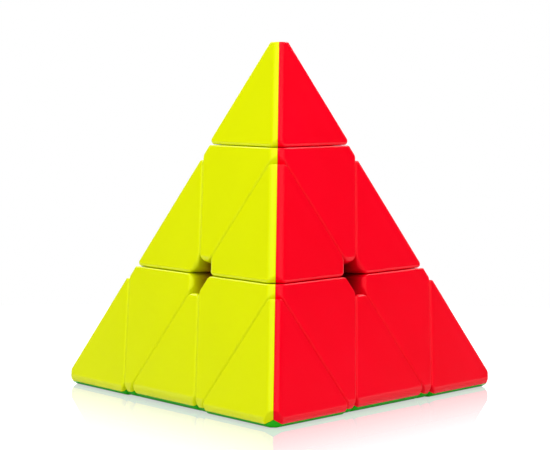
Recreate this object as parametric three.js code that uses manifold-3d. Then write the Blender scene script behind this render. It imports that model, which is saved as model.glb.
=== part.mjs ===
// Pyramid twisty puzzle: a regular tetrahedron in three layers, cut square to its four corner axes.
// Millimetres, +Z up, origin at the centre, where the four axes cross. The green face is underneath.
//
// A corner's own pieces are made once, on the top axis, and turned to the other three corners.
// The puzzle has the twelve turns of a tetrahedron, so one cap or edge half serves twelve places.

import * as THREE from "three";
import { ConvexGeometry } from "three/addons/geometries/ConvexGeometry.js";
import { mergeVertices } from "three/addons/utils/BufferGeometryUtils.js";
import Module from "manifold-3d";

const wasm = await Module();
wasm.setup();

// ---- driving dimensions ----

const EDGE = 104; // edge of the pyramid before it is rounded and its corners are blunted
const LAYER_GAP = 0.32; // between two layers that turn past each other
const SEAM = 0.1; // between two coloured shells of one piece
const FIT = 0.25; // between a shell and what it is clipped over
const WALL = 2.0; // wall of the coloured shells
const TIP_FILLET = 1.8; // radius along the pyramid's edges, on a tip
const AXIAL_FILLET = 2.1;
const EDGE_FILLET = 2.5;
const RIM_RADIUS = 0.3; // along every other edge of a piece
const CORNER_BLUNT = 5.1; // how far each corner of the pyramid is cut back
const AXIAL_HOLE = 3.3; // from a face's middle to the walls that the axial pieces end in there
const EDGE_HOLE = 4; // and to the edge pieces' walls
const HOLE_FILLET = 1; // round those walls

// The ball joint inside: edge feet run in a spherical gap between the core and the caps.
const FOOT_INNER = 11.3;
const FOOT_OUTER = 14.75;
const FOOT_CONE = 68.1; // degrees from a corner axis to the rim of the feet in its layer
const CAP_INNER = 15.35; // radius of the caps' underside
const FLANGE_CONE = 38.9; // degrees from a corner axis to the rim of the axial base's flange
const BALL = 8.5;

// Along each corner axis.
const ARM_RADIUS = 3.4;
const ARM_END = 15.4;
const ARM_CLEARANCE = 0.35;
const SCREW_RADIUS = 1.2;
const SCREW_START = 6;
const SCREW_POINT = 1.4;
const SCREW_HOLE = 1.5;
const WEB_BOTTOM = 16;
const WEB_TOP = 17.8;
const SPRING_RADIUS = 2.7; // to the middle of the wire
const SPRING_WIRE = 0.42;
const SPRING_TURNS = 4;
const WASHER_BOTTOM = 25.4;
const WASHER_THICK = 0.8;
const WASHER_RADIUS = 3.7;
const HEAD_RADIUS = 3;
const HEAD_BOTTOM = 26.5;
const HEAD_TOP = 28.9;
const HEAD_SLOPE = 0.8;
const SLOT_LENGTH = 3.4; // of the cross recess in the screw's head
const SLOT_WIDTH = 0.8;
const SLOT_DEPTH = 1.2;
const BARREL_RADIUS = 6;
const BORE_RADIUS = 4.4;
const LIP_RADIUS = 3.75; // the snap lip that holds the tip's stem
const LIP_BOTTOM = 32.2;
const LIP_TOP = 33.6;
const LIP_SLOPE = 0.5;
const STEM_RADIUS = 3.4;
const STEM_BULGE = 4.05;
const STEM_START = 29.6;
const STEM_BULGE_TOP = 31.8;
const STEM_SLOPE = 0.7;

// Facets round a whole turn.
const ROUND = 16;
const SMALL_ROUND = 10;
const SPHERE_ROUND = 18;
const SPHERE_RINGS = 12;
const ROOM_ROUND = 12; // for hollows where nothing runs
const ROOM_RINGS = 8;
const STEPS_PER_COIL = 8;

// Facets across a rounded edge.
const FILLET_STEPS = 3;
const HOLE_STEPS = 2;

// ---- the tetrahedron ----

const DEGREE = Math.PI / 180;
const HEIGHT = EDGE * Math.sqrt(2 / 3);
const CORNER_RADIUS = HEIGHT * (3 / 4);
const FACE_DISTANCE = HEIGHT / 4;
const TIP_CUT = CORNER_RADIUS - HEIGHT / 3;
const LAYER_CUT = CORNER_RADIUS - HEIGHT * (2 / 3);
const FAR = 2 * EDGE; // larger than the puzzle, for cutters

const AXES = {
  top: new THREE.Vector3(0, 0, 1),
  front: new THREE.Vector3(0, -Math.sqrt(8), -1).divideScalar(3),
  left: new THREE.Vector3(-Math.sqrt(6), Math.sqrt(2), -1).divideScalar(3),
  right: new THREE.Vector3(Math.sqrt(6), Math.sqrt(2), -1).divideScalar(3),
};
const CORNERS = Object.keys(AXES);
const COLOUR_OPPOSITE = { right: "yellow", left: "red", front: "blue", top: "green" };

// A half turn about the line through the middles of two opposite edges brings top to another corner.
function turnFromTop(corner) {
  if (corner === "top") return new THREE.Quaternion();
  const halfway = AXES.top.clone().add(AXES[corner]).normalize();
  return new THREE.Quaternion().setFromAxisAngle(halfway, Math.PI);
}

function turnAboutTop(thirds) {
  return new THREE.Quaternion().setFromAxisAngle(AXES.top, thirds * 120 * DEGREE);
}

// The corner that a turn brings the named corner to.
function cornerAfter(turn, corner) {
  const moved = AXES[corner].clone().applyQuaternion(turn);
  return CORNERS.find((name) => AXES[name].distanceTo(moved) < 0.01);
}

// ---- materials ----

const PLASTIC = {
  yellow: { color: 0xe6ee00, roughness: 0.35 },
  red: { color: 0xfb0028, roughness: 0.35 },
  blue: { color: 0x0a4fd0, roughness: 0.35 },
  green: { color: 0x18a818, roughness: 0.35 },
  black: { color: 0x1b1c1f, roughness: 0.5 },
};

function plastic(colour) {
  return new THREE.MeshStandardMaterial({ ...PLASTIC[colour], metalness: 0 });
}

function steel() {
  return new THREE.MeshStandardMaterial({ color: 0xb8bcc2, roughness: 0.28, metalness: 1 });
}

// ---- solids ----

function solidOf(geometry) {
  geometry.deleteAttribute("normal");
  if (geometry.hasAttribute("uv")) geometry.deleteAttribute("uv");
  const merged = mergeVertices(geometry, 1e-5);
  return new wasm.Manifold(
    new wasm.Mesh({
      numProp: 3,
      vertProperties: new Float32Array(merged.attributes.position.array),
      triVerts: new Uint32Array(merged.index.array),
    }),
  );
}

function geometryOf(solid) {
  const mesh = solid.getMesh();
  const geometry = new THREE.BufferGeometry();
  geometry.setAttribute("position", new THREE.BufferAttribute(mesh.vertProperties, 3));
  geometry.setIndex(new THREE.BufferAttribute(mesh.triVerts, 1));
  return geometry;
}

// A solid of revolution about the top axis, from [radius, height] pairs.
function turned(profile, facets = ROUND) {
  const points = profile.map(([radius, height]) => new THREE.Vector2(radius, height));
  const geometry = new THREE.LatheGeometry(points, facets);
  return solidOf(geometry.rotateX(Math.PI / 2));
}

function rod(radius, bottom, top, facets = ROUND) {
  return turned([[0, bottom], [radius, bottom], [radius, top], [0, top]], facets);
}

function ball(radius, facets = SPHERE_ROUND, rings = SPHERE_RINGS) {
  return solidOf(new THREE.SphereGeometry(radius, facets, rings).rotateX(Math.PI / 2));
}

// The part of a ball within a cone about the top axis.
function ballCone(radius, degrees) {
  const steps = Math.ceil(degrees / (180 / SPHERE_RINGS));
  const profile = [[0, 0]];
  for (let i = steps; i >= 0; i -= 1) {
    const angle = (degrees * DEGREE * i) / steps;
    profile.push([i === 0 ? 0 : radius * Math.sin(angle), radius * Math.cos(angle)]);
  }
  return turned(profile, SPHERE_ROUND);
}

function turnedTo(solid, corner) {
  const turn = new THREE.Matrix4().makeRotationFromQuaternion(turnFromTop(corner));
  return solid.transform(turn.toArray());
}

// A flat bound of a solid: normal . point <= offset.
function bound(normal, offset) {
  return { normal, offset };
}

function movedIn(bounds, distance) {
  return bounds.map(({ normal, offset }) => bound(normal, offset - distance));
}

function meetingPoint(three) {
  const rows = new THREE.Matrix3();
  rows.set(...three.flatMap(({ normal }) => normal.toArray()));
  const offsets = new THREE.Vector3(...three.map(({ offset }) => offset));
  return Math.abs(rows.determinant()) < 1e-6 ? null : offsets.applyMatrix3(rows.invert());
}

// Every corner of the bounded solid, with the three bounds that meet there.
function cornersOf(bounds) {
  const found = [];
  for (let i = 0; i < bounds.length; i += 1) {
    for (let j = i + 1; j < bounds.length; j += 1) {
      for (let k = j + 1; k < bounds.length; k += 1) {
        const faces = [bounds[i], bounds[j], bounds[k]];
        const point = meetingPoint(faces);
        if (point && bounds.every((b) => b.normal.dot(point) < b.offset + 1e-6)) {
          found.push({ point, faces });
        }
      }
    }
  }
  return found;
}

function sharpSolid(bounds) {
  return solidOf(new ConvexGeometry(cornersOf(bounds).map(({ point }) => point)));
}

// The bounded solid with its edges cut back to where a small rolled ball would touch its faces.
function rimmedSolid(bounds) {
  const points = [];
  for (const { faces } of cornersOf(bounds)) {
    const centre = meetingPoint(movedIn(faces, RIM_RADIUS));
    points.push(...faces.map(({ normal }) => centre.clone().addScaledVector(normal, RIM_RADIUS)));
  }
  return solidOf(new ConvexGeometry(points));
}

// Bounds that touch a cylinder of the radius, laid along the edge where two bounds meet.
function fillet(first, second, radius, steps) {
  const along = first.normal.clone().cross(second.normal).normalize();
  const axisPoint = meetingPoint([...movedIn([first, second], radius), bound(along, 0)]);
  const whole = first.normal.angleTo(second.normal);
  const found = [];
  for (let step = 1; step < steps; step += 1) {
    const normal = first.normal.clone().applyAxisAngle(along, (whole * step) / steps);
    found.push(bound(normal, normal.dot(axisPoint) + radius));
  }
  return found;
}

// ---- the bounds of each kind of piece, at the top corner or the top_front edge ----

const faceBound = (corner) => bound(AXES[corner].clone().negate(), FACE_DISTANCE);
const below = (corner, height) => bound(AXES[corner].clone(), height);
const above = (corner, height) => bound(AXES[corner].clone().negate(), -height);
const LOWER_CORNERS = ["front", "left", "right"];

// Rounds the pyramid's edges between the faces opposite the named corners.
function outerFillets(corners, radius) {
  const found = [];
  for (const [i, first] of corners.entries()) {
    for (const second of corners.slice(i + 1)) {
      found.push(...fillet(faceBound(first), faceBound(second), radius, FILLET_STEPS));
    }
  }
  return found;
}

// Blunts the corner that a piece points at the middle of a face, and rounds all round the blunt end.
function holeWall(face, pieceMiddle, distance, cuts) {
  const faceMiddle = AXES[face].clone().multiplyScalar(-FACE_DISTANCE);
  const alongFace = pieceMiddle.clone().sub(faceMiddle).projectOnPlane(AXES[face]).normalize();
  const onWall = faceMiddle.addScaledVector(alongFace, distance);
  const normal = alongFace.negate();
  const wall = bound(normal, normal.dot(onWall));
  return [
    wall,
    ...fillet(faceBound(face), wall, HOLE_FILLET, HOLE_STEPS),
    ...cuts.flatMap((cut) => fillet(cut, wall, HOLE_FILLET, HOLE_STEPS)),
  ];
}

function tipBounds() {
  return [
    ...LOWER_CORNERS.map(faceBound),
    above("top", TIP_CUT + LAYER_GAP / 2),
    below("top", CORNER_RADIUS - CORNER_BLUNT),
    ...outerFillets(LOWER_CORNERS, TIP_FILLET),
  ];
}

function axialBounds() {
  const cut = (corner) => below(corner, LAYER_CUT - LAYER_GAP / 2);
  const middle = AXES.top.clone().multiplyScalar(FACE_DISTANCE);
  const holeAt = (face) => {
    const beside = LOWER_CORNERS.filter((corner) => corner !== face).map(cut);
    return holeWall(face, middle, AXIAL_HOLE, beside);
  };
  return [
    ...LOWER_CORNERS.map(faceBound),
    ...LOWER_CORNERS.map(cut),
    ...LOWER_CORNERS.flatMap(holeAt),
    above("top", LAYER_CUT + LAYER_GAP / 2),
    below("top", TIP_CUT - LAYER_GAP / 2),
    ...outerFillets(LOWER_CORNERS, AXIAL_FILLET),
  ];
}

function edgeBounds() {
  const faces = ["left", "right"];
  const cuts = ["top", "front"].map((corner) => above(corner, LAYER_CUT + LAYER_GAP / 2));
  const middle = AXES.top.clone().add(AXES.front).multiplyScalar(FACE_DISTANCE);
  return [
    ...faces.map(faceBound),
    ...cuts,
    ...faces.flatMap((face) => holeWall(face, middle, EDGE_HOLE, cuts)),
    ...outerFillets(faces, EDGE_FILLET),
  ];
}

// ---- cutters that share a piece between its colours ----

// A third of all space about the top axis, centred on the yellow face.
function yellowThird() {
  const towards = AXES.right.clone().setZ(0).normalize().negate();
  const start = towards.clone().multiplyScalar(SEAM / 2 / Math.sin(60 * DEGREE));
  const outline = new THREE.Shape([new THREE.Vector2(start.x, start.y)]);
  for (const side of [-1, 0, 1]) {
    const arm = towards.clone().applyAxisAngle(AXES.top, side * 60 * DEGREE);
    const reach = start.clone().addScaledVector(arm, FAR);
    outline.lineTo(reach.x, reach.y);
  }
  const geometry = new THREE.ExtrudeGeometry(outline, { depth: FAR, bevelEnabled: false });
  return solidOf(geometry.translate(0, 0, -FAR / 2));
}

// The yellow side of the plane through the top_front edge and the centre.
function yellowSide() {
  return solidOf(new THREE.BoxGeometry(FAR, FAR, FAR).translate(-FAR / 2 - SEAM / 2, 0, 0));
}

// ---- pieces on the top axis ----

function tipCap() {
  const skin = rimmedSolid(tipBounds());
  const room = sharpSolid(movedIn(tipBounds(), WALL));
  const stemHole = rod(STEM_RADIUS + FIT, TIP_CUT - WALL, TIP_CUT + 2 * WALL);
  return skin.subtract(room).subtract(stemHole).intersect(yellowThird());
}

function tipBase() {
  const body = sharpSolid(movedIn(tipBounds(), WALL + FIT));
  const stem = turned([
    [0, STEM_START],
    [STEM_RADIUS, STEM_START],
    [STEM_BULGE, STEM_START + STEM_SLOPE],
    [STEM_BULGE, STEM_BULGE_TOP - STEM_SLOPE],
    [STEM_RADIUS, STEM_BULGE_TOP],
    [STEM_RADIUS, TIP_CUT + 2 * WALL],
    [0, TIP_CUT + 2 * WALL],
  ]);
  return body.add(stem);
}

// A ball for hollows where nothing runs.
function roomBall(radius) {
  return ball(radius, ROOM_ROUND, ROOM_RINGS);
}

function axialCap() {
  const skin = rimmedSolid(axialBounds()).subtract(ball(CAP_INNER));
  const room = sharpSolid(movedIn(axialBounds(), WALL)).subtract(roomBall(CAP_INNER + WALL));
  const barrelHole = rod(BARREL_RADIUS + FIT, 0, TIP_CUT);
  return skin.subtract(room).subtract(barrelHole).intersect(yellowThird());
}

function axialBase() {
  const whole = sharpSolid(movedIn(axialBounds(), WALL + FIT));
  const body = whole.subtract(roomBall(CAP_INNER + WALL + FIT));
  const flange = ballCone(FOOT_OUTER, FLANGE_CONE);
  const barrel = rod(BARREL_RADIUS, FOOT_INNER, TIP_CUT - LAYER_GAP / 2 - FIT);
  const armBore = rod(ARM_RADIUS + ARM_CLEARANCE, 0, WEB_BOTTOM);
  const screwHole = rod(SCREW_HOLE, 0, TIP_CUT, SMALL_ROUND);
  const springBore = turned([
    [0, WEB_TOP],
    [BORE_RADIUS, WEB_TOP],
    [BORE_RADIUS, LIP_BOTTOM],
    [LIP_RADIUS, LIP_BOTTOM + LIP_SLOPE],
    [LIP_RADIUS, LIP_TOP - LIP_SLOPE],
    [BORE_RADIUS, LIP_TOP],
    [BORE_RADIUS, TIP_CUT],
    [0, TIP_CUT],
  ]);
  return body
    .add(flange.add(barrel).subtract(roomBall(FOOT_INNER)))
    .subtract(armBore)
    .subtract(screwHole)
    .subtract(springBore);
}

function washer() {
  const top = WASHER_BOTTOM + WASHER_THICK;
  const hole = rod(SCREW_HOLE, WASHER_BOTTOM - 1, top + 1, SMALL_ROUND);
  return rod(WASHER_RADIUS, WASHER_BOTTOM, top).subtract(hole);
}

function screw() {
  const shank = turned(
    [
      [0, SCREW_START],
      [SCREW_RADIUS, SCREW_START + SCREW_POINT],
      [SCREW_RADIUS, HEAD_BOTTOM],
      [HEAD_RADIUS, HEAD_BOTTOM],
      [HEAD_RADIUS, HEAD_TOP - HEAD_SLOPE],
      [HEAD_RADIUS - HEAD_SLOPE, HEAD_TOP],
      [0, HEAD_TOP],
    ],
    SMALL_ROUND,
  );
  const slot = new THREE.BoxGeometry(SLOT_LENGTH, SLOT_WIDTH, 2 * SLOT_DEPTH);
  const crossSlot = slot.clone().rotateZ(Math.PI / 2);
  const recess = solidOf(slot).add(solidOf(crossSlot)).translate(0, 0, HEAD_TOP);
  return shank.subtract(recess);
}

class Helix extends THREE.Curve {
  getPoint(t, target = new THREE.Vector3()) {
    const bottom = WEB_TOP + FIT + SPRING_WIRE;
    const top = WASHER_BOTTOM - FIT - SPRING_WIRE;
    const angle = t * SPRING_TURNS * 2 * Math.PI;
    return target.set(
      SPRING_RADIUS * Math.cos(angle),
      SPRING_RADIUS * Math.sin(angle),
      bottom + (top - bottom) * t,
    );
  }
}

function spring() {
  const wire = new THREE.Shape();
  wire.absarc(0, 0, SPRING_WIRE, 0, 2 * Math.PI);
  const geometry = new THREE.ExtrudeGeometry(wire, {
    curveSegments: 3,
    steps: SPRING_TURNS * STEPS_PER_COIL,
    extrudePath: new Helix(),
  });
  return solidOf(geometry);
}

// ---- the edge piece and the core ----

// Half of the top_front edge piece: a hollow shell on a neck, and the foot that the caps hold down.
function edgeHalf() {
  const skin = rimmedSolid(edgeBounds());
  const room = sharpSolid(movedIn(edgeBounds(), WALL)).subtract(roomBall(CAP_INNER + WALL));
  const cone = ballCone(FOOT_OUTER, FOOT_CONE);
  const foot = cone.intersect(turnedTo(cone, "front"));
  return skin.subtract(room).add(foot).subtract(roomBall(FOOT_INNER)).intersect(yellowSide());
}

function core() {
  const arm = rod(ARM_RADIUS, 0, ARM_END, ROOM_ROUND);
  const hole = rod(SCREW_HOLE, SCREW_START - 1, ARM_END + 1, SMALL_ROUND);
  let spider = roomBall(BALL);
  for (const corner of CORNERS) {
    spider = spider.add(turnedTo(arm, corner));
  }
  for (const corner of CORNERS) {
    spider = spider.subtract(turnedTo(hole, corner));
  }
  return spider;
}

// ---- assembly ----

const puzzle = new THREE.Group();

function place(name, solid, material, turn = new THREE.Quaternion()) {
  const mesh = new THREE.Mesh(geometryOf(solid), material);
  mesh.name = name;
  mesh.quaternion.copy(turn);
  puzzle.add(mesh);
}

place("core", core(), plastic("black"));

const axisPieces = [
  ["screw", screw(), steel],
  ["washer", washer(), steel],
  ["spring", spring(), steel],
  ["axial_base", axialBase(), () => plastic("black")],
  ["tip_base", tipBase(), () => plastic("black")],
];
for (const corner of CORNERS) {
  for (const [kind, solid, material] of axisPieces) {
    place(`${kind}_${corner}`, solid, material(), turnFromTop(corner));
  }
}

const caps = [
  ["axial_cap", axialCap()],
  ["tip_cap", tipCap()],
];
const half = edgeHalf();
for (const corner of CORNERS) {
  for (const thirds of [0, 1, 2]) {
    const turn = turnFromTop(corner).multiply(turnAboutTop(thirds));
    const colour = COLOUR_OPPOSITE[cornerAfter(turn, "right")];
    for (const [kind, solid] of caps) {
      place(`${kind}_${corner}_${colour}`, solid, plastic(colour), turn);
    }
    const ends = [corner, cornerAfter(turn, "front")];
    const edge = CORNERS.filter((name) => ends.includes(name)).join("_");
    place(`edge_${edge}_${colour}`, half, plastic(colour), turn);
  }
}

export default puzzle;
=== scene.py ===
"""Pyramid twisty puzzle: fine meshes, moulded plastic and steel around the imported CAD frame.

Shapes are worked out in millimetres on the top corner's axis, as in the CAD model, then turned to
their places and scaled to metres. The origin is the puzzle's centre and +Z points at the top corner.
"""

import math

import bmesh
import bpy
from mathutils import Matrix, Quaternion, Vector


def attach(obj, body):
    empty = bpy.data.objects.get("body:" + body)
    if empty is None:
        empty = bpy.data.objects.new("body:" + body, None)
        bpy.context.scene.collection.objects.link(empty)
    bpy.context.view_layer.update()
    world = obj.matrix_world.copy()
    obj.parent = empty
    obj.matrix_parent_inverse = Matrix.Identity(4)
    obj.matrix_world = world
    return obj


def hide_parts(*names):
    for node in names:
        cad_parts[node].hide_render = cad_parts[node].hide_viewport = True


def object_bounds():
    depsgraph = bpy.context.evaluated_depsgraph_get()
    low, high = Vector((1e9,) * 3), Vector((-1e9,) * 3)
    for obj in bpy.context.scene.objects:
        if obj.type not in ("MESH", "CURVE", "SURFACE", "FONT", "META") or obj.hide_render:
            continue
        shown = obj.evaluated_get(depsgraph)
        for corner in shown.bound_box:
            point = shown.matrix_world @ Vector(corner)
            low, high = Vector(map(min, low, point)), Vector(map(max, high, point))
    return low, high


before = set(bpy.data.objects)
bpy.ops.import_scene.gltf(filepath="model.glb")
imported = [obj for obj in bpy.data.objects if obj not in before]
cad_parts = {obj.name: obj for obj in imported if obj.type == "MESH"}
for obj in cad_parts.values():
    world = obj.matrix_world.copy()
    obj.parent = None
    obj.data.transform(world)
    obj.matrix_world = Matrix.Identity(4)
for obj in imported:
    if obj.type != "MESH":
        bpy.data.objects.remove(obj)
cad_low, cad_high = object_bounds()

# ---- driving dimensions, in millimetres: heights are from the puzzle's centre along an axis ----

MM = 0.001  # in metres
EDGE = 104.0  # edge of the pyramid before it is rounded and its corners are blunted
LAYER_GAP = 0.1  # between neighbouring pieces
SEAM = 0.06  # between two coloured shells of one piece
FIT = 0.25  # between a part and what it sits in
WALL = 2.0
SPARE = 1.0  # how far a cutter goes past what it cuts

TIP_FILLET = 1.8  # along the pyramid's edges, on a tip
AXIAL_FILLET = 2.5  # on an axial piece
EDGE_FILLET = 2.5  # on an edge piece
END_FILLET = 1.2  # where a cut meets the rounded edge of the pyramid
RIM_RADIUS = 0.55  # along every other edge of a piece
CORNER_BLUNT = 5.15  # taken off each corner of the pyramid

AXIAL_HOLE = 3.3  # from a face's middle to the walls that the axial pieces end in there
EDGE_HOLE = 4.0  # and to the edge pieces' walls
HOLE_FILLET = 1.2  # from those walls to the face
HOLE_CORNER = 3.0  # from those walls to the cuts beside them
SHADE_START = 0.3  # below the faces, where a piece starts to take its painted shade colour
SHADE_FULL = 4.6  # and where it has all of it

FOOT_INNER = 11.3  # radii of the edge pieces' feet, which are parts of a hollow ball
FOOT_OUTER = 14.75
FOOT_CONE = math.radians(68.1)  # from each of an edge piece's two axes to its foot's rim
CAP_INNER = 15.35  # radius of the hollow that the feet run in
FLANGE_CONE = math.radians(38.9)  # from an axis to the rim of the axial base's flange

BALL = 8.5
ARM_RADIUS = 3.4
ARM_START = BALL / 2
ARM_END = 15.4
ARM_BEVEL = 0.4
ARM_CLEARANCE = 0.35

SCREW_RADIUS = 1.2
SCREW_START = 6.0
SCREW_POINT = 1.0  # length of the point
POINT_TAPER = 0.5  # how much thinner the thread is where the point starts
SCREW_HOLE = 1.5
THREAD_DEPTH = 0.22
THREAD_PITCH = 1.1
THREAD_RUNOUT = 0.3
SHANK = 8.0  # from the thread's end to the head
HEAD_RADIUS = 3.0
HEAD_BOTTOM = 26.5
HEAD_TOP = 28.9
HEAD_BEVEL = 0.2
HEAD_SIDE = 0.9  # from the head's bottom to its dome
RECESS_DEPTH = 1.4
RECESS_WIDTH = 0.36  # half of each slot's width
RECESS_LOW = 0.7  # half of a slot's length at its bottom
RECESS_HIGH = 2.2  # and above the head

WEB_BOTTOM = 16.0
WEB_TOP = 17.8
SPRING_RADIUS = 2.7
SPRING_WIRE = 0.42
SPRING_TURNS = 5
FLAT_COIL = 0.12  # share of the spring's wire that closes up flat, at each end
FLAT_RISE = 0.06  # share of its height that comes from an even climb
WASHER_BOTTOM = 25.4
WASHER_THICK = 0.8
WASHER_RADIUS = 3.7
WASHER_BEVEL = 0.12

BARREL_RADIUS = 6.0
BORE_RADIUS = 4.4
LIP_RADIUS = 3.75
LIP_BOTTOM = 32.2
LIP_TOP = 33.6
LIP_BEVEL = 0.5
STEM_RADIUS = 3.4
STEM_BULGE = 4.05
STEM_START = 29.6
STEM_LEAD = 0.8  # from the stem's start to its bulge
STEM_BULGE_TOP = 31.8
STEM_SHOULDER = 0.6  # from the bulge's top edge down to its full width

# ---- facets round a whole turn, steps across a rounding, and tolerances in millimetres ----

ROUND = 64
BALL_ROUND = 72
BALL_RINGS = 36
SCREW_ROUND = 24
THREAD_ROWS = 8  # for each turn of the thread
DOME_STEPS = 8
SPRING_ROUND = 28
WIRE_ROUND = 12
FILLET_STEPS = 12
HOLE_STEPS = 6
END_STEPS = 6
ARC_STEP = math.radians(13)
CORNER_RINGS = 3
ON_AXIS = 1e-9
ON_PLANE = 1e-6
WELD = 0.0002
SLIVER = 0.002
SHARP_ANGLE = math.radians(32)

# ---- the tetrahedron ----

HEIGHT = EDGE * math.sqrt(2 / 3)
CORNER_RADIUS = HEIGHT * 3 / 4
FACE_DISTANCE = HEIGHT / 4
FACE_INRADIUS = EDGE / math.sqrt(12)
TIP_CUT = CORNER_RADIUS - HEIGHT / 3
LAYER_CUT = CORNER_RADIUS - HEIGHT * 2 / 3
FAR = 2 * EDGE

AXES = {
    "top": Vector((0, 0, 1)),
    "front": Vector((0, -math.sqrt(8), -1)) / 3,
    "left": Vector((-math.sqrt(6), math.sqrt(2), -1)) / 3,
    "right": Vector((math.sqrt(6), math.sqrt(2), -1)) / 3,
}
CORNERS = list(AXES)
LOWER_CORNERS = CORNERS[1:]
COLOUR_OPPOSITE = {"right": "yellow", "left": "red", "front": "blue", "top": "green"}


def turn_from_top(corner):
    """A half turn that brings the top corner to another corner."""
    if corner == "top":
        return Quaternion()
    return Quaternion((AXES["top"] + AXES[corner]).normalized(), math.pi)


def corner_after(turn, corner):
    """The corner where a turn brings a corner."""
    moved = turn @ AXES[corner]
    return min(CORNERS, key=lambda name: (AXES[name] - moved).length)


# ---- mesh building ----


def mesh_of(name, points, faces):
    mesh = bpy.data.meshes.new(name)
    mesh.from_pydata([tuple(p) for p in points], [], faces)
    mesh.validate()
    return mesh


def edited(mesh, edit):
    """The mesh, after an edit that is made on its bmesh."""
    bm = bmesh.new()
    bm.from_mesh(mesh)
    edit(bm)
    bm.to_mesh(mesh)
    bm.free()
    return mesh


def face_outward(bm):
    bmesh.ops.recalc_face_normals(bm, faces=bm.faces)


def weld(bm, distance):
    """Joins points that are closer than the distance, and drops what is left without a size."""
    bmesh.ops.remove_doubles(bm, verts=bm.verts, dist=distance)
    bmesh.ops.dissolve_degenerate(bm, edges=bm.edges, dist=distance)


def on_circle(radius, height, i, facets):
    """Point i of a ring about Z."""
    angle = 2 * math.pi * i / facets
    return (radius * math.cos(angle), radius * math.sin(angle), height)


def revolved(profile, facets=ROUND):
    """A closed solid of revolution about Z from (radius, height) pairs, listed from the bottom up."""
    points, rings, faces = [], [], []
    for radius, height in profile:
        if radius < ON_AXIS:
            rings.append([len(points)] * facets)
            points.append((0, 0, height))
        else:
            rings.append(list(range(len(points), len(points) + facets)))
            points += [on_circle(radius, height, i, facets) for i in range(facets)]
    for low, high in zip(rings, rings[1:] + rings[:1]):
        if low[0] == low[1] and high[0] == high[1]:
            continue
        for i in range(facets):
            j = (i + 1) % facets
            corner_loop = [low[i], low[j], high[j], high[i]]
            faces.append(list(dict.fromkeys(corner_loop)))
    return mesh_of("revolved", points, faces)


def rod(radius, bottom, top):
    return revolved([(0, bottom), (radius, bottom), (radius, top), (0, top)])


def ball_part(radius, cone):
    """The part of a ball within a cone about Z. A cone of pi is the whole ball."""
    steps = max(2, round(BALL_RINGS * cone / math.pi))
    profile = [] if cone == math.pi else [(0, 0)]
    for i in range(steps, -1, -1):
        angle = cone * i / steps
        on_axis = i == 0 or (i == steps and cone == math.pi)
        profile.append((0 if on_axis else radius * math.sin(angle), radius * math.cos(angle)))
    return revolved(profile, BALL_ROUND)


def ball(radius):
    return ball_part(radius, math.pi)


def prism(low, high):
    """The solid between two outlines with the same number of corners."""
    n = len(low)
    faces = [list(range(n)), list(range(n, 2 * n))]
    faces += [[i, (i + 1) % n, (i + 1) % n + n, i + n] for i in range(n)]
    return edited(mesh_of("prism", [*low, *high], faces), face_outward)


def turned_to(mesh, corner):
    copy = mesh.copy()
    copy.transform(turn_from_top(corner).to_matrix().to_4x4())
    return copy


def modified(mesh, kind, **settings):
    """The mesh after one modifier."""
    thing = bpy.data.objects.new("thing", mesh)
    bpy.context.scene.collection.objects.link(thing)
    modifier = thing.modifiers.new("modifier", kind)
    for key, value in settings.items():
        setattr(modifier, key, value)
    depsgraph = bpy.context.evaluated_depsgraph_get()
    depsgraph.update()
    result = bpy.data.meshes.new_from_object(thing.evaluated_get(depsgraph))
    bpy.data.objects.remove(thing)
    return result


def boolean(mesh, operation, tools):
    """The mesh with each tool in turn taken from it, added to it or met with it."""
    for tool in tools:
        cutter = bpy.data.objects.new("cutter", tool)
        bpy.context.scene.collection.objects.link(cutter)
        mesh = modified(mesh, "BOOLEAN", operation=operation, solver="EXACT", object=cutter)
        bpy.data.objects.remove(cutter)
    return mesh


def cut(mesh, *tools):
    return boolean(mesh, "DIFFERENCE", tools)


def joined(mesh, *others):
    return boolean(mesh, "UNION", others)


def common(mesh, other):
    return boolean(mesh, "INTERSECT", [other])


# A bound is (normal, offset): a point is inside it if normal . point <= offset.


def moved_in(bounds, distance):
    return [(normal, offset - distance) for normal, offset in bounds]


def fillet(first, second, radius, steps):
    """Bounds that touch a cylinder of the radius, laid along the edge where two bounds meet."""
    along = first[0].cross(second[0])
    rows = Matrix([first[0], second[0], along])
    axis_point = rows.inverted() @ Vector((first[1] - radius, second[1] - radius, 0))
    whole = first[0].angle(second[0])
    found = []
    for step in range(1, steps):
        normal = Quaternion(along, whole * step / steps) @ first[0]
        found.append((normal, normal.dot(axis_point) + radius))
    return found


def carved(bounds):
    """The bmesh of the solid inside all the bounds, cut from a large cube."""
    bm = bmesh.new()
    bmesh.ops.create_cube(bm, size=2 * FAR)
    for normal, offset in bounds:
        everything = bm.verts[:] + bm.edges[:] + bm.faces[:]
        result = bmesh.ops.bisect_plane(
            bm,
            geom=everything,
            dist=ON_PLANE,
            plane_co=normal * offset,
            plane_no=normal,
            clear_outer=True,
        )
        rim = [item for item in result["geom_cut"] if isinstance(item, bmesh.types.BMEdge)]
        if rim:
            bmesh.ops.contextual_create(bm, geom=rim)
    face_outward(bm)
    return bm


def mesh_from(bm):
    mesh = bpy.data.meshes.new("solid")
    bm.to_mesh(mesh)
    bm.free()
    return mesh


def solid(bounds):
    return mesh_from(carved(bounds))


def arc(first, second):
    """Directions from the first to the second in even steps."""
    steps = max(1, math.ceil(first.angle(second) / ARC_STEP))
    return [first.slerp(second, i / steps) for i in range(steps + 1)]


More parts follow.
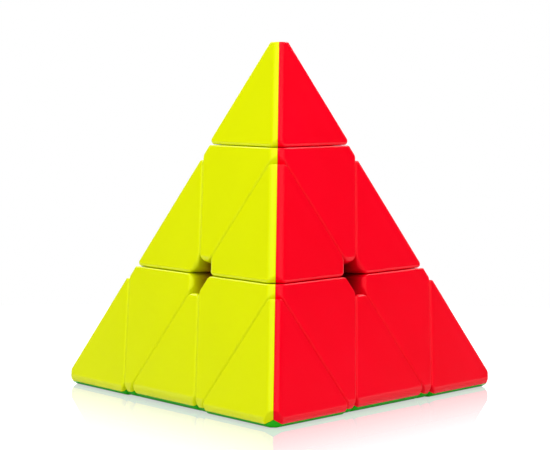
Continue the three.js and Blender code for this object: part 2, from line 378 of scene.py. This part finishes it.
def rounded_solid(bounds):
    """The bounded solid with every edge and corner rounded, as if a ball rolled round a smaller one."""
    smaller = carved(moved_in(bounds, RIM_RADIUS))
    round_one = bmesh.new()

    def add(points_and_ways):
        corners = [round_one.verts.new(point + way * RIM_RADIUS) for point, way in points_and_ways]
        round_one.faces.new(corners)

    for face in smaller.faces:
        add([(vert.co, face.normal) for vert in face.verts])
    for edge in smaller.edges:
        first, second = edge.verts
        ways = arc(*[face.normal for face in edge.link_faces])
        for way, next_way in zip(ways, ways[1:]):
            add([(first.co, way), (second.co, way), (second.co, next_way), (first.co, next_way)])
    for vert in smaller.verts:
        middle = sum((face.normal for face in vert.link_faces), Vector()).normalized()
        for edge in vert.link_edges:
            ways = arc(*[face.normal for face in edge.link_faces])
            for ring in range(CORNER_RINGS):
                inner = [middle.lerp(way, ring / CORNER_RINGS).normalized() for way in ways]
                outer = [middle.lerp(way, (ring + 1) / CORNER_RINGS).normalized() for way in ways]
                for i in range(len(ways) - 1):
                    quad = [outer[i], outer[i + 1], inner[i + 1], inner[i]]
                    add([(vert.co, way) for way in (quad if ring else quad[:3])])
    weld(round_one, WELD)
    face_outward(round_one)
    smaller.free()
    return mesh_from(round_one)


# ---- bounds of each kind of piece, at the top corner or the top_front edge ----


def face_bound(corner):
    """Inside the face that is opposite a corner."""
    return (-AXES[corner], FACE_DISTANCE)


def below(corner, height):
    return (AXES[corner], height)


def above(corner, height):
    return (-AXES[corner], -height)


def outer_fillet(faces, radius, cuts):
    """Rounds the pyramid's edge between two faces, and the ends that the cuts give it."""
    found = fillet(face_bound(faces[0]), face_bound(faces[1]), radius, FILLET_STEPS)
    ridge = found[len(found) // 2]
    for bound in cuts:
        found += fillet(ridge, bound, END_FILLET, END_STEPS)
    return found


def hole_wall(face, piece_middle, distance, cuts):
    """Blunts the corner that a piece points at the middle of a face, and rounds the blunt end."""
    outward_normal = -AXES[face]
    face_middle = outward_normal * FACE_DISTANCE
    along_face = piece_middle - face_middle
    along_face = (along_face - outward_normal * along_face.dot(outward_normal)).normalized()
    wall = (-along_face, -along_face.dot(face_middle) - distance)
    found = [wall] + fillet(face_bound(face), wall, HOLE_FILLET, HOLE_STEPS)
    for bound in cuts:
        found += fillet(bound, wall, HOLE_CORNER, HOLE_STEPS)
    return found


def lower_faces_but(corner):
    return [face for face in LOWER_CORNERS if face != corner]


def tip_bounds():
    tip_cut = above("top", TIP_CUT + LAYER_GAP / 2)
    bounds = [face_bound(corner) for corner in LOWER_CORNERS]
    bounds += [tip_cut, below("top", CORNER_RADIUS - CORNER_BLUNT)]
    for corner in LOWER_CORNERS:
        bounds += outer_fillet(lower_faces_but(corner), TIP_FILLET, [tip_cut])
    return bounds


def axial_bounds():
    tip_cut = below("top", TIP_CUT - LAYER_GAP / 2)
    cuts = {corner: below(corner, LAYER_CUT - LAYER_GAP / 2) for corner in LOWER_CORNERS}
    middle = AXES["top"] * FACE_DISTANCE
    bounds = [face_bound(corner) for corner in LOWER_CORNERS] + list(cuts.values())
    bounds += [above("top", LAYER_CUT + LAYER_GAP / 2), tip_cut]
    for corner in LOWER_CORNERS:
        others = lower_faces_but(corner)
        bounds += outer_fillet(others, AXIAL_FILLET, [tip_cut, cuts[corner]])
        bounds += hole_wall(corner, middle, AXIAL_HOLE, [cuts[other] for other in others])
    return bounds


def edge_bounds():
    cuts = [above(corner, LAYER_CUT + LAYER_GAP / 2) for corner in ("top", "front")]
    faces = ("left", "right")
    bounds = [face_bound(face) for face in faces] + cuts + outer_fillet(faces, EDGE_FILLET, cuts)
    middle = (AXES["top"] + AXES["front"]) * FACE_DISTANCE
    for face in faces:
        bounds += hole_wall(face, middle, EDGE_HOLE, cuts)
    return bounds


# ---- cutters that share a piece between its colours ----


def yellow_third():
    """A third of all space about Z, centred on the yellow face."""
    sixth = math.radians(60)
    towards = -AXES["right"].copy()
    towards.z = 0
    towards.normalize()
    start = towards * (SEAM / 2 / math.sin(sixth))
    outline = [start]
    for side in (-1, 0, 1):
        outline.append(start + Quaternion((0, 0, 1), side * sixth) @ towards * FAR)
    up = Vector((0, 0, FAR))
    return prism([point - up for point in outline], [point + up for point in outline])


def yellow_side():
    """The yellow side of the plane through the top_front edge and the centre."""
    square = [(-FAR, -FAR), (-FAR, FAR), (FAR, FAR), (FAR, -FAR)]
    return prism([(-FAR, y, z) for y, z in square], [(-SEAM / 2, y, z) for y, z in square])


# ---- the pieces ----


def tip_cap():
    """One colour's share of a tip: a shell, open below round the stem."""
    room = solid(moved_in(tip_bounds(), WALL))
    stem_hole = rod(STEM_RADIUS + FIT, TIP_CUT - WALL, TIP_CUT + 2 * WALL)
    return common(cut(rounded_solid(tip_bounds()), room, stem_hole), yellow_third())


def tip_base():
    """The dark inside of a tip: a block under its caps, and a stem with a bulge that snaps in."""
    body = solid(moved_in(tip_bounds(), WALL + FIT))
    stem = revolved([
        (0, STEM_START),
        (STEM_RADIUS, STEM_START),
        (STEM_BULGE, STEM_START + STEM_LEAD),
        (STEM_BULGE, STEM_BULGE_TOP - STEM_SHOULDER),
        (STEM_RADIUS, STEM_BULGE_TOP),
        (STEM_RADIUS, TIP_CUT + 2 * WALL),
        (0, TIP_CUT + 2 * WALL),
    ])
    return joined(body, stem)


def axial_cap():
    """One colour's share of an axial piece: a shell round the barrel, hollowed for the feet."""
    skin = cut(rounded_solid(axial_bounds()), ball(CAP_INNER))
    room = cut(solid(moved_in(axial_bounds(), WALL)), ball(CAP_INNER + WALL))
    barrel_hole = rod(BARREL_RADIUS + FIT, 0, TIP_CUT)
    return common(cut(skin, room, barrel_hole), yellow_third())


def axial_base():
    """The dark inside of an axial piece: a block under its caps, a flange and a bored barrel."""
    block = cut(solid(moved_in(axial_bounds(), WALL + FIT)), ball(CAP_INNER + WALL + FIT))
    flange = ball_part(FOOT_OUTER, FLANGE_CONE)
    barrel = rod(BARREL_RADIUS, FOOT_INNER, TIP_CUT - LAYER_GAP / 2 - FIT)
    inner = cut(joined(flange, barrel), ball(FOOT_INNER))
    arm_bore = rod(ARM_RADIUS + ARM_CLEARANCE, 0, WEB_BOTTOM)
    screw_hole = rod(SCREW_HOLE, 0, TIP_CUT)
    spring_bore = revolved([
        (0, WEB_TOP),
        (BORE_RADIUS, WEB_TOP),
        (BORE_RADIUS, LIP_BOTTOM),
        (LIP_RADIUS, LIP_BOTTOM + LIP_BEVEL),
        (LIP_RADIUS, LIP_TOP - LIP_BEVEL),
        (BORE_RADIUS, LIP_TOP),
        (BORE_RADIUS, TIP_CUT),
        (0, TIP_CUT),
    ])
    return cut(joined(block, inner), arm_bore, screw_hole, spring_bore)


def washer():
    """A flat washer with bevelled edges, under the screw's head."""
    inner, outer, bevel = SCREW_HOLE, WASHER_RADIUS, WASHER_BEVEL
    low, high = WASHER_BOTTOM, WASHER_BOTTOM + WASHER_THICK
    return revolved([
        (inner, low),
        (outer - bevel, low),
        (outer, low + bevel),
        (outer, high - bevel),
        (outer - bevel, high),
        (inner + bevel, high),
        (inner, high - bevel),
    ])


def screw():
    """A pan-head screw with a cross recess and a cut thread."""
    thread_start = SCREW_START + SCREW_POINT
    rows = round((HEAD_BOTTOM - SHANK - thread_start) / THREAD_PITCH * THREAD_ROWS)
    thread_end = thread_start + THREAD_PITCH * rows / THREAD_ROWS
    points = [(0, 0, SCREW_START)]
    for row in range(rows + 1):
        height = thread_start + THREAD_PITCH * row / THREAD_ROWS
        taper = 0 if row else POINT_TAPER
        for i in range(SCREW_ROUND):
            along = (row / THREAD_ROWS - i / SCREW_ROUND) % 1
            depth = THREAD_DEPTH * abs(2 * along - 1)
            points.append(on_circle(SCREW_RADIUS - depth - taper, height, i, SCREW_ROUND))
    upper = [
        (SCREW_RADIUS - THREAD_DEPTH / 2, thread_end + THREAD_RUNOUT),
        (SCREW_RADIUS - THREAD_DEPTH / 2, HEAD_BOTTOM - HEAD_BEVEL),
        (SCREW_RADIUS, HEAD_BOTTOM),
        (HEAD_RADIUS - HEAD_BEVEL, HEAD_BOTTOM),
        (HEAD_RADIUS, HEAD_BOTTOM + HEAD_BEVEL),
    ]
    dome_bottom = HEAD_BOTTOM + HEAD_SIDE
    for step in range(DOME_STEPS):
        angle = math.pi / 2 * step / DOME_STEPS
        dome_height = (HEAD_TOP - dome_bottom) * math.sin(angle)
        upper.append((HEAD_RADIUS * math.cos(angle), dome_bottom + dome_height))
    for radius, height in upper:
        points += [on_circle(radius, height, i, SCREW_ROUND) for i in range(SCREW_ROUND)]
    points.append((0, 0, HEAD_TOP))
    starts = range(1, len(points) - 1, SCREW_ROUND)
    rings = [range(start, start + SCREW_ROUND) for start in starts]
    faces = []
    for i in range(SCREW_ROUND):
        j = (i + 1) % SCREW_ROUND
        faces.append([0, rings[0][j], rings[0][i]])
        faces += [[low[i], low[j], high[j], high[i]] for low, high in zip(rings, rings[1:])]
        faces.append([rings[-1][i], rings[-1][j], len(points) - 1])
    return cut(edited(mesh_of("screw", points, faces), face_outward), cross_recess())


def cross_recess():
    """Two crossed wedges, wide at the top and narrow at the bottom."""
    signs = ((-1, -1), (1, -1), (1, 1), (-1, 1))
    ends = ((HEAD_TOP - RECESS_DEPTH, RECESS_LOW), (HEAD_TOP + SPARE, RECESS_HIGH))
    slots = []
    for quarter in (0, 1):
        slot = prism(*[[(x * length, y * RECESS_WIDTH, z) for x, y in signs] for z, length in ends])
        slot.transform(Matrix.Rotation(math.pi / 2 * quarter, 4, "Z"))
        slots.append(slot)
    return joined(*slots)


def spring():
    """A compression spring with its end coils closed up flat."""
    steps = SPRING_TURNS * SPRING_ROUND
    bottom = WEB_TOP + FIT + SPRING_WIRE
    top = WASHER_BOTTOM - FIT - SPRING_WIRE
    points, faces = [], []
    for step in range(steps + 1):
        t = step / steps
        eased = min(max((t - FLAT_COIL) / (1 - 2 * FLAT_COIL), 0), 1)
        height = bottom + (top - bottom) * (FLAT_RISE * t + (1 - FLAT_RISE) * eased)
        out = Vector(on_circle(1, 0, step, SPRING_ROUND))
        centre = out * SPRING_RADIUS + Vector((0, 0, height))
        for side in range(WIRE_ROUND):
            turn = 2 * math.pi * side / WIRE_ROUND
            offset = out * math.cos(turn) + Vector((0, 0, math.sin(turn)))
            points.append(centre + offset * SPRING_WIRE)
    for step in range(steps):
        for side in range(WIRE_ROUND):
            next_side = (side + 1) % WIRE_ROUND
            low, high = step * WIRE_ROUND, (step + 1) * WIRE_ROUND
            faces.append([low + side, low + next_side, high + next_side, high + side])
    faces.append(list(range(WIRE_ROUND)))
    faces.append(list(range(steps * WIRE_ROUND, (steps + 1) * WIRE_ROUND)))
    return edited(mesh_of("spring", points, faces), face_outward)


def edge_half():
    """Half of the top_front edge piece: a hollow shell on a neck, and its half of the foot."""
    room = cut(solid(moved_in(edge_bounds(), WALL)), ball(CAP_INNER + WALL))
    cone = ball_part(FOOT_OUTER, FOOT_CONE)
    foot = common(cone, turned_to(cone, "front"))
    whole = joined(cut(rounded_solid(edge_bounds()), room), foot)
    return common(cut(whole, ball(FOOT_INNER)), yellow_side())


def core():
    """A ball with four arms, each bored for its screw."""
    arm = revolved([
        (0, ARM_START),
        (ARM_RADIUS, ARM_START),
        (ARM_RADIUS, ARM_END - ARM_BEVEL),
        (ARM_RADIUS - ARM_BEVEL, ARM_END),
        (0, ARM_END),
    ])
    hole = rod(SCREW_HOLE, SCREW_START - SPARE, ARM_END + SPARE)
    spider = joined(ball(BALL), *[turned_to(arm, corner) for corner in CORNERS])
    return cut(spider, *[turned_to(hole, corner) for corner in CORNERS])


# ---- materials: noise scales are in features a metre, bump distances in metres ----

DRIFT_SCALE = 35
GLOSS_SCALE = 260
GLOSS_DRIFT = 0.015  # how far the gloss strays to each side
PEEL_SCALE = 2200
PEEL_DETAIL = 3
PEEL_STRENGTH = 0.03
BUMP_DISTANCE = 0.0001
PLASTIC_ROUGHNESS = 0.25
PLASTIC_SPECULAR = 0.1
INSIDE_ROUGHNESS = 0.48
INSIDE_SPECULAR = 0.4

STEEL_COLOUR = (0.62, 0.63, 0.66, 1)
STEEL_ROUGHNESS = (0.2, 0.36)
SMEAR_SCALE = 900
SMEAR_DETAIL = 5
GRAIN_SCALE = 3000
GRAIN_STRENGTH = 0.12

NOISE_RANGE = (0.3, 0.7)  # that most of a noise texture's values are in


class Nodes:
    """A short way to build the node tree of a material or a world."""

    def __init__(self, owner):
        owner.use_nodes = True
        self.owner = owner
        self.tree = owner.node_tree

    def add(self, kind, **settings):
        """A new node, with its inputs and properties set by name."""
        node = self.tree.nodes.new(kind)
        for key, value in settings.items():
            if key in node.inputs:
                self.put(value, node.inputs[key])
            else:
                setattr(node, key, value)
        return node

    def put(self, value, socket):
        """Sets a socket to a plain value, or links another node's output to it."""
        if isinstance(value, bpy.types.NodeSocket):
            self.tree.links.new(value, socket)
        else:
            socket.default_value = value

    def shade(self, **inputs):
        """Gives inputs to the main shader, with _ for the spaces in their names."""
        shader = self.tree.nodes["Principled BSDF"]
        for name, value in inputs.items():
            self.put(value, shader.inputs[name.replace("_", " ")])

    def combined(self, operation, first, second):
        node = self.add("ShaderNodeMath", operation=operation)
        self.put(first, node.inputs[0])
        self.put(second, node.inputs[1])
        return node.outputs["Value"]

    def ramped(self, value, start, end, at_start, at_end):
        """Runs evenly from at_start to at_end while the value goes from start to end."""
        ends = {"From Min": start, "From Max": end, "To Min": at_start, "To Max": at_end}
        return self.add("ShaderNodeMapRange", Value=value, **ends).outputs["Result"]

    def mixed(self, factor, first, second):
        """A colour between two. Each is a plain colour or another node's output."""
        node = self.add("ShaderNodeMix", data_type="RGBA")
        self.put(first, node.inputs["A"])
        self.put(second, node.inputs["B"])
        self.put(factor, node.inputs["Factor"])
        return node.outputs["Result"]

    def position(self):
        """Where a point is on the piece, in metres from the puzzle's centre."""
        return self.add("ShaderNodeTexCoord").outputs["Object"]

    def noise(self, scale, detail=2.0):
        settings = {"Vector": self.position(), "Scale": scale, "Detail": detail, "Roughness": 0.5}
        return self.add("ShaderNodeTexNoise", **settings).outputs["Fac"]

    def bumped(self, height, strength):
        bump = self.add("ShaderNodeBump", Strength=strength, Distance=BUMP_DISTANCE, Height=height)
        return bump.outputs["Normal"]


def moulded_plastic(
    name, colour, shade, painted_shade_colour, roughness=PLASTIC_ROUGHNESS, specular=PLASTIC_SPECULAR
):
    """Moulded plastic: slow tint drift, painted shade on deep walls, a fine orange peel and uneven
    gloss.
    """
    nodes = Nodes(bpy.data.materials.new(name))
    drift = nodes.ramped(nodes.noise(DRIFT_SCALE), *NOISE_RANGE, 0.0, 1.0)
    tint = nodes.mixed(drift, (*colour, 1), (*shade, 1))
    gloss = (roughness - GLOSS_DRIFT, roughness + GLOSS_DRIFT)
    nodes.shade(
        # Painted shade: deep in the holes the colour is mixed towards a darker, warmer one.
        Base_Color=nodes.mixed(painted_shade_depth(nodes), tint, (*painted_shade_colour, 1)),
        Roughness=nodes.ramped(nodes.noise(GLOSS_SCALE), *NOISE_RANGE, *gloss),
        Normal=nodes.bumped(nodes.noise(PEEL_SCALE, PEEL_DETAIL), PEEL_STRENGTH),
        Specular_IOR_Level=specular,
    )
    return nodes.owner


def painted_shade_depth(nodes):
    """How much painted shade a point takes: from 0 on the faces to 1 deep in a hole, by the distance
    from the puzzle's centre.
    """
    distance = nodes.add("ShaderNodeVectorMath", operation="LENGTH")
    nodes.put(nodes.position(), distance.inputs[0])
    deep, shallow = ((FACE_DISTANCE - depth) * MM for depth in (SHADE_FULL, SHADE_START))
    return nodes.ramped(distance.outputs["Value"], deep, shallow, 1.0, 0.0)


def zinc_steel(name):
    """Zinc-plated steel with a faint grain."""
    nodes = Nodes(bpy.data.materials.new(name))
    nodes.shade(
        Metallic=1.0,
        Base_Color=STEEL_COLOUR,
        Roughness=nodes.ramped(nodes.noise(SMEAR_SCALE, SMEAR_DETAIL), *NOISE_RANGE, *STEEL_ROUGHNESS),
        Normal=nodes.bumped(nodes.noise(GRAIN_SCALE), GRAIN_STRENGTH),
    )
    return nodes.owner


# The colour, the colour that it drifts to, and the painted shade colour deep in a hole.
PLASTICS = {
    "yellow": [(0.78, 0.85, 0.0), (0.75, 0.82, 0.0), (0.5, 0.25, 0.004)],
    "red": [(0.99, 0.0, 0.014), (0.95, 0.0, 0.011), (0.3, 0.004, 0.003)],
    "blue": [(0.0, 0.10, 0.68), (0.0, 0.09, 0.62), (0.0, 0.03, 0.25)],
    "green": [(0.02, 0.50, 0.01), (0.02, 0.46, 0.01), (0.01, 0.15, 0.0)],
    "black": [
        (0.014, 0.014, 0.016), (0.02, 0.02, 0.022), (0.01, 0.01, 0.01), INSIDE_ROUGHNESS, INSIDE_SPECULAR
    ],
}
MATERIALS = {name: moulded_plastic(name, *look) for name, look in PLASTICS.items()}
MATERIALS["steel"] = zinc_steel("steel")
SLOTS = {name: name + "_plastic" for name in PLASTICS}
SLOTS["steel"] = "steel"


# ---- placing the pieces ----


def finished(mesh):
    """Smooth shading with true flats: sharp where surfaces meet at an angle, weighted elsewhere."""
    mesh = edited(mesh, lambda bm: weld(bm, SLIVER))
    mesh.shade_smooth()
    mesh.set_sharp_from_angle(angle=SHARP_ANGLE)
    return modified(mesh, "WEIGHTED_NORMAL", keep_sharp=True)


def place(node, body, mesh, material, turn=Quaternion()):
    """A copy of the mesh turned to its place, standing for a CAD node."""
    copy = mesh.copy()
    copy.transform(turn.to_matrix().to_4x4() @ Matrix.Scale(MM, 4))
    copy.materials.clear()
    copy.materials.append(MATERIALS[material])
    piece = bpy.data.objects.new("fine_" + node, copy)
    bpy.context.scene.collection.objects.link(piece)
    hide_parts(node)
    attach(piece, body)


place("core", "core", finished(core()), "black")

axis_pieces = [
    ("screw", "core", screw(), "steel"),
    ("washer", "core", washer(), "steel"),
    ("spring", "axial", spring(), "steel"),
    ("axial_base", "axial", axial_base(), "black"),
    ("tip_base", "tip", tip_base(), "black"),
]
for kind, body, mesh, material in axis_pieces:
    mesh = finished(mesh)
    for corner in CORNERS:
        rides_on = body if body == "core" else f"{body}_{corner}"
        place(f"{kind}_{corner}", rides_on, mesh, material, turn_from_top(corner))

axial_shell, tip_shell, edge_shell = (finished(make()) for make in (axial_cap, tip_cap, edge_half))
for corner in CORNERS:
    for third in range(3):
        turn = turn_from_top(corner) @ Quaternion((0, 0, 1), math.radians(120 * third))
        colour = COLOUR_OPPOSITE[corner_after(turn, "right")]
        place(f"axial_cap_{corner}_{colour}", f"axial_{corner}", axial_shell, colour, turn)
        place(f"tip_cap_{corner}_{colour}", f"tip_{corner}", tip_shell, colour, turn)
        ends = sorted((corner, corner_after(turn, "front")), key=CORNERS.index)
        edge = "edge_" + "_".join(ends)
        place(f"{edge}_{colour}", edge, edge_shell, colour, turn)

# ---- floor, light and camera, in metres, watts and degrees ----

FLOOR_GAP = 0.00002
FLOOR_RADIUS = 0.26
FLOOR_ROUND = 96
FLOOR_BOUNCE = 0.5  # its grey where it bounces light onto the puzzle
FLOOR_PALE = 0.15  # and where the camera sees it
FLOOR_GLOW = 1.22  # the light of its own that the camera sees
FLOOR_SPILL = 0.12  # share of the glow that lights the puzzle
POLISH = 0.54  # share of mirror reflection beside the puzzle
POLISH_WIDTH = 0.06  # how far out that fades to none

HORIZON_TOP = (0.13, 0.16)  # heights on the unit sphere where the lit band of the world fades out
LIGHT_DISTANCE = 0.8
# Name, azimuth, elevation, size and power. Azimuth 0 is in front, and grows to the right.
SIDE_LIGHTS = [
    ("key", 56, 36, 0.9, 3.6),
    ("edge", 42, 36, 0.2, 0.09),
    ("rim", 149, 31, 0.3, 0.5),
]
MIDDLE_LIGHTS = [
    ("over", 0, 90, 0.6, 3.9),
    ("back", 180, 30, 0.8, 3.2),
]

CAMERA_AZIMUTH = 0.88
CAMERA_ELEVATION = 3.04
CAMERA_ROLL = -0.28
CAMERA_DISTANCE = 0.6345
CAMERA_AIM = 0.0176  # height on the puzzle's axis
CAMERA_LENS = 185.5
CAMERA_SENSOR = 36
CAMERA_SHIFT = -3.45  # in pixels
IMAGE_WIDTH = 550


def floor():
    """A round pale floor, polished where the puzzle stands and dull further out."""
    height = cad_low.z - FLOOR_GAP
    rim = [on_circle(FLOOR_RADIUS, height, i, FLOOR_ROUND) for i in range(FLOOR_ROUND)]
    plane = bpy.data.objects.new("floor", mesh_of("floor", rim, [list(range(FLOOR_ROUND))]))
    bpy.context.scene.collection.objects.link(plane)
    nodes = Nodes(bpy.data.materials.new("floor"))
    seen = nodes.add("ShaderNodeLightPath").outputs["Is Camera Ray"]
    nodes.shade(
        Roughness=1.0,
        Specular_IOR_Level=0.0,
        Base_Color=nodes.mixed(seen, grey(FLOOR_BOUNCE), grey(FLOOR_PALE)),
        Emission_Color=grey(FLOOR_GLOW),
        Emission_Strength=nodes.combined("MAXIMUM", seen, FLOOR_SPILL),
    )
    polish = nodes.add("ShaderNodeBsdfGlossy", Roughness=0.0)
    both = nodes.add("ShaderNodeMixShader")
    nodes.put(nodes.ramped(from_footprint(nodes), 0.0, POLISH_WIDTH, POLISH, 0.0), both.inputs[0])
    nodes.put(nodes.tree.nodes["Principled BSDF"].outputs["BSDF"], both.inputs[1])
    nodes.put(polish.outputs["BSDF"], both.inputs[2])
    nodes.put(both.outputs["Shader"], nodes.tree.nodes["Material Output"].inputs["Surface"])
    plane.data.materials.append(nodes.owner)


def grey(level):
    return (level, level, level, 1)


def from_footprint(nodes):
    """How far a point of the floor is outside the puzzle's footprint."""
    position = nodes.position()
    furthest = -FLOOR_RADIUS
    for corner in LOWER_CORNERS:
        side = nodes.add("ShaderNodeVectorMath", operation="DOT_PRODUCT")
        nodes.put(position, side.inputs[0])
        nodes.put(Vector((-AXES[corner].x, -AXES[corner].y, 0)).normalized(), side.inputs[1])
        furthest = nodes.combined("MAXIMUM", side.outputs["Value"], furthest)
    return nodes.combined("SUBTRACT", furthest, FACE_INRADIUS * MM)


def direction(azimuth, elevation):
    """From the puzzle towards an azimuth and elevation."""
    azimuth, elevation = math.radians(azimuth), math.radians(elevation)
    return Vector((
        math.sin(azimuth) * math.cos(elevation),
        -math.cos(azimuth) * math.cos(elevation),
        math.sin(elevation),
    ))


def softbox(name, azimuth, elevation, size, power):
    """A round soft light aimed at the puzzle."""
    towards = direction(azimuth, elevation)
    light = bpy.data.lights.new(name, "AREA")
    light.shape = "DISK"
    light.size = size
    light.energy = power
    lamp = bpy.data.objects.new(name, light)
    lamp.location = towards * LIGHT_DISTANCE
    lamp.rotation_euler = (-towards).to_track_quat("-Z", "Y").to_euler()
    bpy.context.scene.collection.objects.link(lamp)


def white_room():
    """Looks white to the camera and in the floor, but lights the puzzle only from near the horizon."""
    nodes = Nodes(bpy.data.worlds.new("studio"))
    way = nodes.add("ShaderNodeTexCoord").outputs["Generated"]
    height = nodes.add("ShaderNodeSeparateXYZ", Vector=way).outputs["Z"]
    strength = nodes.ramped(height, *HORIZON_TOP, 1.0, 0.0)
    path = nodes.add("ShaderNodeLightPath")
    for white_to in ("Is Camera Ray", "Is Singular Ray"):
        strength = nodes.combined("MAXIMUM", strength, path.outputs[white_to])
    background = nodes.tree.nodes["Background"]
    nodes.put((1, 1, 1, 1), background.inputs["Color"])
    nodes.put(strength, background.inputs["Strength"])
    bpy.context.scene.world = nodes.owner


def studio():
    white_room()
    for side in (-1, 1):
        for name, azimuth, *rest in SIDE_LIGHTS:
            softbox(name, side * azimuth, *rest)
    for light in MIDDLE_LIGHTS:
        softbox(*light)
    bpy.context.scene.view_settings.view_transform = "Standard"


def camera():
    """A long lens a little above the table, aimed from in front of the front corner."""
    towards = direction(CAMERA_AZIMUTH, CAMERA_ELEVATION)
    level = (-towards).to_track_quat("-Z", "Y")
    data = bpy.data.cameras.new("camera")
    data.sensor_width = CAMERA_SENSOR
    data.lens = CAMERA_LENS
    data.shift_x = CAMERA_SHIFT / IMAGE_WIDTH
    view = bpy.data.objects.new("camera", data)
    view.location = Vector((0, 0, CAMERA_AIM)) + towards * CAMERA_DISTANCE
    view.rotation_euler = (Quaternion(-towards, math.radians(CAMERA_ROLL)) @ level).to_euler()
    bpy.context.scene.collection.objects.link(view)
    bpy.context.scene.camera = view


floor()
studio()
camera()
